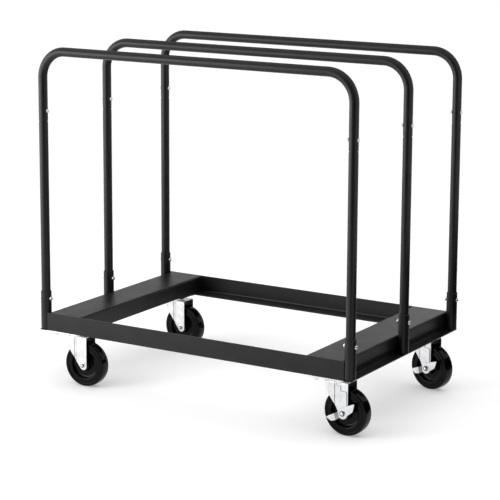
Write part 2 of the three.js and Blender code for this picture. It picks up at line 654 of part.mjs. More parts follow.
// Uprights: a socket, a post and two bolts on each side, with a bow across the top
const ENDS = [['left', -1], ['right', 1]];
for (const [row, y] of [['front', -CORNER_Y], ['middle', 0], ['rear', CORNER_Y]]) {
  const upright = new THREE.Group();
  upright.position.y = y;
  for (const [end, side] of ENDS) {
    const leg = new THREE.Group();
    leg.position.x = side * SOCKET_X;
    leg.add(named(`${row}_${end}_socket`, socket(), 'powder'));
    leg.add(named(`${row}_${end}_post`, post(), 'powder'));
    const bolts = [['socket', SOCKET_RADIUS, SOCKET_BOLT_Z], ['bow', TUBE_RADIUS, BOW_BOLT_Z]];
    for (const [place, radius, z] of bolts) {
      const bolt = named(`${row}_${end}_${place}_bolt`, uprightBolt(radius), 'zinc');
      bolt.position.z = z;
      bolt.rotation.z = side < 0 ? 0 : Math.PI;
      leg.add(bolt);
    }
    upright.add(leg);
  }
  upright.add(named(`${row}_bow`, bow(), 'powder'));
  cart.add(upright);
}

// Casters, each swivelled and, on the right, braked as it stands; angles in degrees
const CASTERS = [
  { name: 'front_left', x: -1, y: -1, swivel: 3, lever: null },
  { name: 'front_right', x: 1, y: -1, swivel: -2, lever: 16 },
  { name: 'rear_left', x: -1, y: 1, swivel: -2.5, lever: null },
  { name: 'rear_right', x: 1, y: 1, swivel: -13, lever: 10 },
];
for (const { name, x, y, swivel, lever } of CASTERS) {
  cart.add(named(`${name}_caster_pad`, casterPad(x, y), 'powder'));
  const caster = new THREE.Group();
  caster.position.set(x * CASTER_X, y * CASTER_Y, 0);
  caster.add(named(`${name}_caster_plate`, topPlate(), 'zinc'));
  caster.add(named(`${name}_king_pin`, kingPin(), 'zinc'));
  const turning = new THREE.Group();
  turning.rotation.z = THREE.MathUtils.degToRad(swivel);
  turning.add(named(`${name}_fork`, fork(), 'zinc'));
  const hub = new THREE.Group();
  hub.position.set(CASTER_OFFSET, 0, AXLE_Z);
  hub.add(named(`${name}_wheel`, wheel(), 'tread'));
  hub.add(named(`${name}_axle`, axle(lever === null ? LEG_OUTER : LEVER_FACE), 'zinc'));
  if (lever !== null) {
    hub.add(named(`${name}_brake_leaf`, brakeLeaf(), 'zinc'));
    const rocker = named(`${name}_brake_lever`, brakeLever(), 'zinc');
    rocker.rotation.y = THREE.MathUtils.degToRad(-lever);
    hub.add(rocker);
  }
  turning.add(hub);
  caster.add(turning);
  cart.add(caster);
}

export default cart;
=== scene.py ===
"""Looks of a sheet goods cart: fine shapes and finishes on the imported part, a studio and a camera."""

import logging
import math
from collections.abc import Callable
from dataclasses import dataclass, field
from enum import Enum

import bmesh
import bpy
from mathutils import Matrix, Vector


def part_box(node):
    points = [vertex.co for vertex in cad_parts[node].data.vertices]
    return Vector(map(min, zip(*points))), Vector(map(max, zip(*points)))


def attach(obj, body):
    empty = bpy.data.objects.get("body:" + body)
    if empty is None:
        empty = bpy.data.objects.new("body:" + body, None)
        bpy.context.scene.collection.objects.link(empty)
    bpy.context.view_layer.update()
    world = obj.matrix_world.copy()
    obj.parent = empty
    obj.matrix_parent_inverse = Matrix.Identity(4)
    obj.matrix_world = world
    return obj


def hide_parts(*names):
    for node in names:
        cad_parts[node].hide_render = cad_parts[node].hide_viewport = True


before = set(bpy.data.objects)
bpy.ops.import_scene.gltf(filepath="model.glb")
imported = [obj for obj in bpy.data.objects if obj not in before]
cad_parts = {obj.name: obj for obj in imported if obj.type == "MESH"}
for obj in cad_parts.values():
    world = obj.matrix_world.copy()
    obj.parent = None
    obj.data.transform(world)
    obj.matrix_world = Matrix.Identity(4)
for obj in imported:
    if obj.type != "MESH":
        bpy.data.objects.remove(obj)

LOG = logging.getLogger("sheet_goods_cart")
MM = 0.001
# Face attribute and grades by which the zinc is painted darker: dulled cut edges on sheet rim faces, and painted shade
# on the fork's inside, the rib walls, the brake crank and the axle head's ring.
CUT_EDGE_AND_SHADE = "cut_edge_and_shade"
HALF_PAINTED_SHADE, DULL_AND_SHADE = 1, 2
DULL_AND_SHADE_GRADES = (0.0, 0.72, 1.0)
Point = tuple[float, float]
Setting = dict[str, object]


class Slot(Enum):
    """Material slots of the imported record."""

    COAT = "frame_coat"
    BOLT = "bolt_zinc"
    CASTER = "caster_zinc"
    WHEEL = "wheel_rubber"


class End(Enum):
    """The two ends of the cart, with the sign of X."""

    LEFT = -1
    RIGHT = 1

    @property
    def word(self) -> str:
        """The end's name as the part's nodes spell it."""
        return self.name.lower()


class Value:
    """A shader socket that takes part in arithmetic; each operation adds a Math node."""

    def __init__(self, graph: "Graph", socket: bpy.types.NodeSocket) -> None:
        """Wraps a socket.

        Args:
            graph: the node graph that the socket belongs to.
            socket: the output socket to wrap.
        """
        self.graph = graph
        self.socket = socket

    def _with(self, operation: str, first: object, second: object) -> "Value":
        """Adds one Math node.

        Args:
            operation: name of the Math operation.
            first: wrapped socket or number.
            second: wrapped socket or number.

        Returns:
            The wrapped result.
        """
        node = self.graph.add("ShaderNodeMath", {"operation": operation}, {0: first, 1: second})
        return Value(self.graph, node.outputs[0])

    def __add__(self, other: object) -> "Value":
        """Sum with a value or a number."""
        return self._with("ADD", self, other)

    def __radd__(self, other: object) -> "Value":
        """Sum with a number on the left."""
        return self._with("ADD", other, self)

    def __sub__(self, other: object) -> "Value":
        """Difference with a value or a number."""
        return self._with("SUBTRACT", self, other)

    def __rsub__(self, other: object) -> "Value":
        """A number less this value."""
        return self._with("SUBTRACT", other, self)

    def __mul__(self, other: object) -> "Value":
        """Product with a value or a number."""
        return self._with("MULTIPLY", self, other)

    def __rmul__(self, other: object) -> "Value":
        """Product with a number on the left."""
        return self._with("MULTIPLY", other, self)

    def atleast(self, other: object) -> "Value":
        """The larger of this value and another."""
        return self._with("MAXIMUM", self, other)


class Graph:
    """Node tree of a material or the world, filled from wrapped sockets and plain numbers."""

    def __init__(self, tree: bpy.types.NodeTree) -> None:
        """Clears a node tree.

        Args:
            tree: the tree to fill.
        """
        self.tree = tree
        tree.nodes.clear()

    def add(self, kind: str, settings: Setting | None = None, sockets: dict | None = None) -> bpy.types.Node:
        """Adds one node of any type.

        Args:
            kind: the node's type name.
            settings: properties of the node, set first; a ramp's stops are given as "stops".
            sockets: input values, wrapped sockets or sockets to link, by name or number.

        Returns:
            The new node.
        """
        node = self.tree.nodes.new(kind)
        for key, value in (settings or {}).items():
            if key == "stops":
                self._stops(node.color_ramp, value)
            else:
                setattr(node, key, value)
        for key, value in (sockets or {}).items():
            if isinstance(value, Value):
                value = value.socket
            if isinstance(value, bpy.types.NodeSocket):
                self.tree.links.new(value, node.inputs[key])
            else:
                node.inputs[key].default_value = value
        return node

    @staticmethod
    def _stops(ramp: bpy.types.ColorRamp, stops: list[tuple[float, tuple]]) -> None:
        """Sets the stops of a colour ramp.

        Args:
            ramp: the ramp to set.
            stops: positions and colours, in order.
        """
        while len(ramp.elements) < len(stops):
            ramp.elements.new(1.0)
        for element, (place, color) in zip(ramp.elements, stops):
            element.position = place
            element.color = (*color, 1.0)

    def noise(self, scale: float, detail: float, stretch: tuple = (1.0, 1.0, 1.0)) -> Value:
        """Noise on Object coordinates.

        Args:
            scale: cells per metre.
            detail: octaves of finer noise.
            stretch: factors on the three axes.

        Returns:
            The noise, about 0 to 1.
        """
        place = self.add("ShaderNodeTexCoord")
        mapped = self.add("ShaderNodeMapping", None, {"Vector": place.outputs["Object"], "Scale": stretch})
        texture = self.add("ShaderNodeTexNoise", None,
                           {"Vector": mapped.outputs[0], "Scale": scale, "Detail": detail})
        return Value(self, texture.outputs[0])

    def painted(self, name: str) -> Value:
        """A value stored on the mesh's faces, nothing where a mesh has none.

        Args:
            name: the attribute's name.

        Returns:
            The stored value.
        """
        return Value(self, self.add("ShaderNodeAttribute", {"attribute_name": name}).outputs["Fac"])

    def ramp(self, factor: Value, stops: list[tuple[float, tuple]]) -> bpy.types.NodeSocket:
        """Colours picked by a factor.

        Args:
            factor: the value that picks.
            stops: positions and colours, in order.

        Returns:
            The colour socket.
        """
        return self.add("ShaderNodeValToRGB", {"stops": stops}, {0: factor}).outputs[0]

    def relief(self, height: Value, depth: float, strength: float) -> bpy.types.NodeSocket:
        """A bumped normal.

        Args:
            height: the relief, about 0 to 1.
            depth: height of the relief in metres.
            strength: share of the relief that shows.

        Returns:
            The normal socket.
        """
        sockets = {"Height": height, "Distance": depth, "Strength": strength}
        return self.add("ShaderNodeBump", None, sockets).outputs[0]

    def seen(self) -> Value:
        """One for rays of the lens and for mirrored and refracted rays, else nothing."""
        rays = self.add("ShaderNodeLightPath")
        camera, glossy, through = (Value(self, rays.outputs[f"Is {kind} Ray"])
                                   for kind in ("Camera", "Glossy", "Transmission"))
        return camera.atleast(glossy).atleast(through)

    def shade(self, sockets: dict) -> None:
        """Ends the material with a Principled shader.

        Args:
            sockets: the shader's inputs.
        """
        shader = self.add("ShaderNodeBsdfPrincipled", None, sockets)
        self.add("ShaderNodeOutputMaterial", None, {"Surface": shader.outputs[0]})


def new_material(name: str) -> tuple[bpy.types.Material, Graph]:
    """A material with an empty graph.

    Args:
        name: the material's name.

    Returns:
        The material and its graph.
    """
    material = bpy.data.materials.new(name)
    material.use_nodes = True
    return material, Graph(material.node_tree)


@dataclass(frozen=True)
class PowderCoat:
    """Satin black powder coat with a fine orange peel."""

    name: str = "black powder coat"
    dark: tuple = (0.004, 0.004, 0.0046)
    light: tuple = (0.0085, 0.0085, 0.0096)
    roughness: float = 0.36
    specular: float = 0.28
    peel_scale: float = 1500.0
    peel_depth: float = 0.00012

    def material(self) -> bpy.types.Material:
        """Builds the material."""
        material, graph = new_material(self.name)
        cloud = graph.noise(22.0, 3.0)
        peel = graph.noise(self.peel_scale, 2.0)
        speck = graph.noise(420.0, 2.0)
        graph.shade({
            "Base Color": graph.ramp(0.7 * cloud + 0.3 * speck, [(0.35, self.dark), (0.65, self.light)]),
            "Roughness": self.roughness - 0.06 + 0.12 * cloud,
            "Specular IOR Level": self.specular,
            "Normal": graph.relief(peel, self.peel_depth, 0.35),
        })
        return material


@dataclass(frozen=True)
class ZincPlate:
    """Bright zinc plate, a little cloudy, with fine rolling lines, dulled cut edges and painted shade on marked faces.
    """

    name: str
    dark: tuple = (0.66, 0.665, 0.675)
    light: tuple = (0.78, 0.785, 0.795)
    # Darkest colour, for dulled cut edges and for painted shade.
    cut: tuple = (0.10, 0.10, 0.105)
    roughness: float = 0.28

    def material(self) -> bpy.types.Material:
        """Builds the material."""
        material, graph = new_material(self.name)
        cloud = graph.noise(60.0, 4.0)
        lines = graph.noise(260.0, 2.0, (1.0, 1.0, 0.12))
        # Marked faces are painted darker: cut-edge dulling, and painted shade.
        dull_and_shade = graph.painted(CUT_EDGE_AND_SHADE)
        graph.shade({
            "Base Color": graph.ramp((1.0 - dull_and_shade) * cloud, [(0.0, self.cut), (0.3, self.dark), (0.7, self.light)]),
            "Metallic": 1.0,
            "Roughness": self.roughness - 0.08 + 0.16 * cloud + 0.2 * dull_and_shade,
            "Normal": graph.relief(lines, 0.00008, 0.25),
        })
        return material


@dataclass(frozen=True)
class WheelRubber:
    """Hard black wheel, moulded smooth and slightly glossy."""

    name: str = "moulded black wheel"
    dark: tuple = (0.0012, 0.0012, 0.0014)
    light: tuple = (0.0032, 0.0032, 0.0036)
    roughness: float = 0.12
    specular: float = 0.125

    def material(self) -> bpy.types.Material:
        """Builds the material."""
        material, graph = new_material(self.name)
        cloud = graph.noise(70.0, 4.0)
        grain = graph.noise(900.0, 2.0)
        graph.shade({
            "Base Color": graph.ramp(cloud, [(0.35, self.dark), (0.7, self.light)]),
            "Roughness": self.roughness - 0.05 + 0.14 * cloud,
            "Specular IOR Level": self.specular,
            "Normal": graph.relief(grain, 0.00008, 0.2),
        })
        return material


@dataclass(frozen=True)
class FloorPaper:
    """White studio paper that keeps the cart's soft shadow and reads as white to the lens."""

    name: str = "white studio paper"
    color: tuple = (0.85, 0.85, 0.85)
    lift: float = 0.31

    def material(self) -> bpy.types.Material:
        """Builds the material."""
        material, graph = new_material(self.name)
        tooth = graph.noise(3.0, 2.0)
        shade = (0.985 * self.color[0], 0.985 * self.color[1], 0.985 * self.color[2])
        tone = graph.ramp(tooth, [(0.3, shade), (0.7, self.color)])
        paper = graph.add("ShaderNodeBsdfDiffuse", None, {"Color": tone})
        glow = graph.add("ShaderNodeEmission", None, {"Strength": self.lift * graph.seen()})
        both = graph.add("ShaderNodeAddShader", None, {0: paper.outputs[0], 1: glow.outputs[0]})
        graph.add("ShaderNodeOutputMaterial", None, {"Surface": both.outputs[0]})
        return material


@dataclass(frozen=True)
class FlagCloth:
    """Black cloth of a studio flag."""

    name: str
    dark: tuple = (0.002, 0.002, 0.002)
    light: tuple = (0.006, 0.006, 0.006)

    def material(self) -> bpy.types.Material:
        """Builds the material."""
        material, graph = new_material(self.name)
        graph.shade({
            "Base Color": graph.ramp(graph.noise(400.0, 2.0), [(0.3, self.dark), (0.7, self.light)]),
            "Roughness": 1.0,
            "Specular IOR Level": 0.0,
        })
        return material


@dataclass(frozen=True)
class Finishes:
    """The finishes of the cart, each made once."""

    made: dict = field(default_factory=dict)

    def of(self, slot: Slot) -> bpy.types.Material:
        """The material of a slot.

        Args:
            slot: the record's slot.

        Returns:
            The material, made on first use.
        """
        if slot not in self.made:
            finish = {
                Slot.COAT: PowderCoat(),
                Slot.BOLT: ZincPlate("bright zinc bolts", roughness=0.24),
                Slot.CASTER: ZincPlate("bright zinc casters"),
                Slot.WHEEL: WheelRubber(),
            }[slot]
            self.made[slot] = finish.material()
        return self.made[slot]


FINISHES = Finishes()


def arc(radius: float, start: float, end: float, steps: int) -> list[Point]:
    """Points on an arc about the origin.

    Args:
        radius: the arc's radius.
        start: angle of the first point, in degrees.
        end: angle of the last point, in degrees.
        steps: stretches between the points.

    Returns:
        The points, with both ends.
    """
    angles = [math.radians(start + (end - start) * step / steps) for step in range(steps + 1)]
    return [(radius * math.cos(angle), radius * math.sin(angle)) for angle in angles]


def softened(corners: list[tuple[float, float, float]], steps: int = 2) -> list[Point]:
    """A line whose corners are rounded by parabolas.

    Args:
        corners: corner points as (x, z, reach), where a reach of nothing leaves the corner sharp.
        steps: stretches in each round.

    Returns:
        The points of the rounded line.
    """
    spots = [Vector(corner[:2]) for corner in corners]
    line = []
    for number, (spot, (*_, reach)) in enumerate(zip(spots, corners)):
        if not reach:
            line.append(spot)
            continue
        back, ahead = (spot + reach * (spots[number + side] - spot).normalized() for side in (-1, 1))
        for share in (step / steps for step in range(steps + 1)):
            line.append(back.lerp(spot, share).lerp(spot.lerp(ahead, share), share))
    return [tuple(point) for point in line]


class Shape:
    """A bmesh in millimetres with the operators that the cart's pieces are made by."""

    def __init__(self) -> None:
        """Starts an empty shape."""
        self.bm = bmesh.new()

    def outline(self, corners: list[Point], depth: float) -> bmesh.types.BMFace:
        """A flat face in a plane of constant Y.

        Args:
            corners: corner points as (x, z).
            depth: the plane's Y.

        Returns:
            The new face.
        """
        verts = [self.bm.verts.new((x, depth, z)) for x, z in corners]
        return self.bm.faces.new(verts)

    def strip(self, line: list[Point], low: float, high: float) -> list[bmesh.types.BMEdge]:
        """A sheet swept along Y from a line drawn in X and Z.

        Args:
            line: points of the line as (x, z).
            low: the sheet's lowest Y.
            high: the sheet's highest Y.

        Returns:
            The fold edges between the sheet's panels, in order.
        """
        verts = [self.bm.verts.new((x, low, z)) for x, z in line]
        edges = [self.bm.edges.new(pair) for pair in zip(verts, verts[1:])]
        swept = bmesh.ops.extrude_edge_only(self.bm, edges=edges)["geom"]
        moved = [v for v in swept if isinstance(v, bmesh.types.BMVert)]
        bmesh.ops.translate(self.bm, verts=moved, vec=(0, high - low, 0))
        return [next(e for e in v.link_edges if abs(e.verts[0].co.y - e.verts[1].co.y) > 1) for v in verts[1:-1]]

    def bar(self, section: list[Point], half: float, rounds: dict[int, tuple[float, int]]) -> "Shape":
        """A bar along X with rounded long edges.

        Args:
            section: corner points of its section as (y, z).
            half: half its length.
            rounds: reach and steps of each rounded edge, by the number of its corner.

        Returns:
            This shape.
        """
        verts = [self.bm.verts.new((-half, y, z)) for y, z in section]
        self.bm.faces.new(verts)
        for corner, (reach, steps) in rounds.items():
            self.round_corners([verts[corner]], reach, steps)
        return self.extrude((2 * half, 0, 0))

    def extrude(self, along: tuple) -> "Shape":
        """Gives flat faces a depth.

        Args:
            along: the depth as a vector.

        Returns:
            This shape.
        """
        grown = bmesh.ops.extrude_face_region(self.bm, geom=self.bm.faces[:], use_keep_orig=True)["geom"]
        far = [v for v in grown if isinstance(v, bmesh.types.BMVert)]
        bmesh.ops.translate(self.bm, verts=far, vec=along)
        return self.close()

    def turn(self, profile: list[Point], steps: int) -> "Shape":
        """A profile turned about Z.

        Args:
            profile: points as (radius, height); a closed ring repeats its first point.
            steps: facets round the axis.

        Returns:
            This shape.
        """
        closed = profile[0] == profile[-1]
        points = profile[:-1] if closed else profile
        verts = [self.bm.verts.new((radius, 0, height)) for radius, height in points]
        pairs = list(zip(verts, verts[1:])) + ([(verts[-1], verts[0])] if closed else [])
        edges = [self.bm.edges.new(pair) for pair in pairs]
        bmesh.ops.spin(self.bm, geom=verts + edges, cent=(0, 0, 0), axis=(0, 0, 1), dvec=(0, 0, 0),
                       angle=2 * math.pi, steps=steps, use_merge=True)
        return self.close()

    def close(self) -> "Shape":
        """Merges doubled points and turns the faces outwards."""
        bmesh.ops.remove_doubles(self.bm, verts=self.bm.verts[:], dist=1e-3)
        bmesh.ops.recalc_face_normals(self.bm, faces=self.bm.faces[:])
        return self

    def round_corners(self, verts: list[bmesh.types.BMVert], reach: float, segments: int) -> None:
        """Rounds corners of flat faces.

        Args:
            verts: the corners.
            reach: distance from the corner to the start of the round.
            segments: steps in each round.
        """
        bmesh.ops.bevel(self.bm, geom=verts, offset=reach, offset_type="OFFSET", segments=segments, profile=0.5,
                        affect="VERTICES", clamp_overlap=True, material=-1)

    def round_edges(self, edges: list[bmesh.types.BMEdge], reach: float, segments: int) -> None:
        """Rounds edges.

        Args:
            edges: the edges.
            reach: distance from the edge to the start of the round.
            segments: steps in each round.
        """
        bmesh.ops.bevel(self.bm, geom=edges, offset=reach, offset_type="OFFSET", segments=segments, profile=0.5,
                        affect="EDGES", clamp_overlap=True, material=-1)

    def swing(self, edges: list, centre: tuple, axis: tuple, degrees: float, steps: int) -> list:
        """Sweeps edges round an axis.

        Args:
            edges: the edges to sweep.
            centre: a point on the axis.
            axis: the axis.
            degrees: angle of the sweep.
            steps: facets of the sweep.

        Returns:
            The edges at the end of the sweep.
        """
        swept = bmesh.ops.spin(self.bm, geom=edges, cent=centre, axis=axis, dvec=(0, 0, 0),
                               angle=math.radians(degrees), steps=steps, use_merge=False)
        return [e for e in swept["geom_last"] if isinstance(e, bmesh.types.BMEdge)]

    def run(self, edges: list, along: tuple) -> list:
        """Sweeps edges straight.

        Args:
            edges: the edges to sweep.
            along: the sweep's vector.

        Returns:
            The edges at the end of the sweep.
        """
        swept = bmesh.ops.extrude_edge_only(self.bm, edges=edges)["geom"]
        verts = [v for v in swept if isinstance(v, bmesh.types.BMVert)]
        bmesh.ops.translate(self.bm, verts=verts, vec=along)
        ends = set(verts)
        return [e for e in swept if isinstance(e, bmesh.types.BMEdge) and set(e.verts) <= ends]

    def hexagon(self, flats: float, low: float, high: float, chamfer: float) -> "Shape":
        """A hexagon bar about Z with its upper corners turned off.

        Args:
            flats: size across the flats.
            low: height of the lower face.
            high: height of the upper face.
            chamfer: how much the upper corners lose.

        Returns:
            This shape.
        """
        made = bmesh.ops.create_circle(self.bm, cap_ends=True, segments=6, radius=flats / math.sqrt(3),
                                       matrix=Matrix.Translation((0, 0, low)))
        face = made["verts"][0].link_faces[0]
        raised = bmesh.ops.extrude_face_region(self.bm, geom=[face])["geom"]
        verts = [v for v in raised if isinstance(v, bmesh.types.BMVert)]
        bmesh.ops.translate(self.bm, verts=verts, vec=(0, 0, high - low))
        top = [e for e in raised if isinstance(e, bmesh.types.BMEdge)]
        self.round_edges(top, chamfer, 2)
        return self.close()

    def dull_and_shade(self, chosen: Callable[[bmesh.types.BMFace], bool], grade: int = DULL_AND_SHADE) -> None:
        """Marks faces that the zinc paints darker: dulled cut edges, and painted shade.

        Args:
            chosen: tells whether a face is marked.
            grade: how dark it is painted.
        """
        for face in self.bm.faces:
            if chosen(face):
                face.material_index = grade

    def place(self, matrix: Matrix) -> "Shape":
        """Moves the whole shape.

        Args:
            matrix: the move, in millimetres.

        Returns:
            This shape.
        """
        bmesh.ops.transform(self.bm, matrix=matrix, verts=self.bm.verts[:])
        return self

    def take(self, other: "Shape") -> "Shape":
        """Adds another shape to this one.

        Args:
            other: the shape to add, which is used up.

        Returns:
            This shape.
        """
        mesh = bpy.data.meshes.new("joined")
        other.bm.to_mesh(mesh)
        other.bm.free()
        self.bm.from_mesh(mesh)
        bpy.data.meshes.remove(mesh)
        return self


@dataclass
class Piece:
    """A finished piece: where it rides, what it stands for and how its edges are dressed."""

    name: str
    body: str
    slot: Slot
    nodes: tuple = ()
    wall: float = 0.0
    side: float = 0.0
    edge: float = 0.0
    sharp: float = 40.0
    # Whether the wall's inner shell gets painted shade.
    painted_shade_inside: bool = False
    # Faces above this height, in millimetres, keep the plain finish, without cut-edge dulling or painted shade.
    bright_above: float = math.inf

    def make(self, shape: Shape) -> bpy.types.Object:
        """Turns a shape into an object of the scene.

        Args:
            shape: the shape in millimetres, which is used up.

        Returns:
            The object.
        """
        bmesh.ops.scale(shape.bm, vec=(MM, MM, MM), verts=shape.bm.verts[:])
        mesh = bpy.data.meshes.new(self.name)
        shape.bm.to_mesh(mesh)
        shape.bm.free()
        thing = bpy.data.objects.new(self.name, mesh)
        bpy.context.collection.objects.link(thing)
        self._dress(thing)
        thing.data.materials.clear()
        thing.data.materials.append(FINISHES.of(self.slot))
        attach(thing, self.body)
        if self.nodes:
            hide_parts(*self.nodes)
        LOG.info("%s: %d faces", self.name, len(thing.data.polygons))
        return thing

    def _dress(self, thing: bpy.types.Object) -> None:
        """Gives walls, rounded edges and clean shading.

        Args:
            thing: the object to dress.
        """
        for _ in range(DULL_AND_SHADE + 1):
            thing.data.materials.append(FINISHES.of(self.slot))
        if self.wall:
            wall = thing.modifiers.new("wall", "SOLIDIFY")
            wall.thickness = self.wall * MM
            wall.offset = self.side
            wall.use_even_offset = True
            # Wall rim faces get the full grade: dulled cut edges, which also paint a dark shade line along sheet
            # edges; the inner shell can get painted shade as well.
            wall.material_offset_rim = DULL_AND_SHADE
            wall.material_offset = DULL_AND_SHADE if self.painted_shade_inside else 0
        if self.edge:
            edge = thing.modifiers.new("edge", "BEVEL")
            edge.width = self.edge * MM
            edge.segments = 2
            edge.limit_method = "ANGLE"
            edge.angle_limit = math.radians(50)
        if thing.modifiers:
            graph = bpy.context.evaluated_depsgraph_get()
            baked = bpy.data.meshes.new_from_object(thing.evaluated_get(graph))
            raw = thing.data
            thing.modifiers.clear()
            thing.data = baked
            bpy.data.meshes.remove(raw)
            baked.name = self.name
        bright = self.bright_above * MM
        # Each face's darkening, cut-edge dulling and painted shade, is stored for the zinc.
        dull_and_shade_values = [0.0 if polygon.center.z > bright else DULL_AND_SHADE_GRADES[min(polygon.material_index, DULL_AND_SHADE)]
                for polygon in thing.data.polygons]
        if any(dull_and_shade_values):
            thing.data.attributes.new(CUT_EDGE_AND_SHADE, "FLOAT", "FACE").data.foreach_set("value", dull_and_shade_values)
            thing.data.polygons.foreach_set("material_index", [0] * len(dull_and_shade_values))
        thing.data.shade_smooth()
        thing.data.set_sharp_from_angle(angle=math.radians(self.sharp))
        normals = thing.modifiers.new("even normals", "WEIGHTED_NORMAL")
        normals.keep_sharp = True


def middle(node: str) -> Vector:
    """Centre of a part's node.

    Args:
        node: the node's name.

    Returns:
        The centre of its box, in millimetres.
    """
    low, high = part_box(node)
    return (low + high) / 2 / MM


@dataclass
class DeckFrame:
    """Rails, end channels and caster pads: the welded base."""

    body: str = "frame"
    rail_wall: float = 4.0
    rail_root: float = 4.0
    rail_edge: float = 0.7
    rail_seat: float = 1.5
    end_wall: float = 3.0
    end_bend: float = 3.5
    lip_root: float = 5.3

    def build(self) -> None:
        """Makes the pieces of the base."""
        for row in ("front", "rear"):
            self.rail(f"{row}_rail")
        for end in End:
            self.channel(end)
        for row in ("front", "rear"):
            for end in End:
                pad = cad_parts[f"{row}_{end.word}_caster_pad"]
                pad.data.materials.clear()
                pad.data.materials.append(FINISHES.of(Slot.COAT))

    def rail(self, node: str) -> None:
        """An angle with its flange at the foot.

        Args:
            node: the rail's node.
        """
        low, high = (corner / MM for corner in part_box(node))
        face, tip = (low.y, high.y) if low.y < 0 else (high.y, low.y)
        inner = face + math.copysign(self.rail_wall, tip - face)
        step = low.z + self.rail_wall
        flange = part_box("front_right_caster_pad")[1].x / MM
        edge = (self.rail_edge, 2)
        leg = [(face, low.z), (face, high.z), (inner, high.z), (inner, low.z)]
        foot = [(inner, low.z), (tip, low.z), (tip, step), (inner, step), (inner, step + self.rail_root)]
        shape = Shape().bar(leg, high.x - self.rail_seat, {0: edge, 1: edge, 2: edge})
        shape.take(Shape().bar(foot, flange, {1: edge, 2: edge, 3: (self.rail_root, 4)}))
        Piece(f"{node}_angle", self.body, Slot.COAT, (node,)).make(shape)

    def channel(self, end: End) -> None:
        """A folded end channel with the ledge under the sockets.

        Args:
            end: the end of the cart.
        """
        node = f"{end.word}_end_channel"
        low, high = (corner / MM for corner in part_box(node))
        socket_low, socket_high = (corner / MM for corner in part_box(f"front_{end.word}_socket"))
        rail_low, rail_high = (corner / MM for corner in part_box("front_rail"))
        half = self.end_wall / 2
        sign = end.value
        inner = min(abs(low.x), abs(high.x)) + half
        tip = max(abs(low.x), abs(high.x))
        web = min(abs(socket_low.x), abs(socket_high.x)) - 0.3 - half
        side = -rail_low.y - self.rail_wall - 0.3
        foot = low.z + self.rail_wall + 0.3
        ear = rail_high.x + 0.3
        line = [(inner, foot), (inner, high.z - half), (web, high.z - half), (web, low.z + half),
                (ear, low.z + half), (tip, low.z + half)]
        shape = Shape()
        folds = shape.strip([(sign * x, z) for x, z in line], -side, side)
        for far in (-1, 1):
            lip = [e for e in shape.bm.edges if all(
                abs(v.co.y - far * side) < 0.1 and abs(v.co.x) > ear - 0.1 for v in e.verts)]
            shape.run(lip, (0, far * (high.y - side), 0))
        shape.round_edges(folds[:3], self.end_bend, 4)
        shape.close()
        Piece(f"{node}_sheet", self.body, Slot.COAT, (node,), wall=self.end_wall, edge=0.5).make(shape)


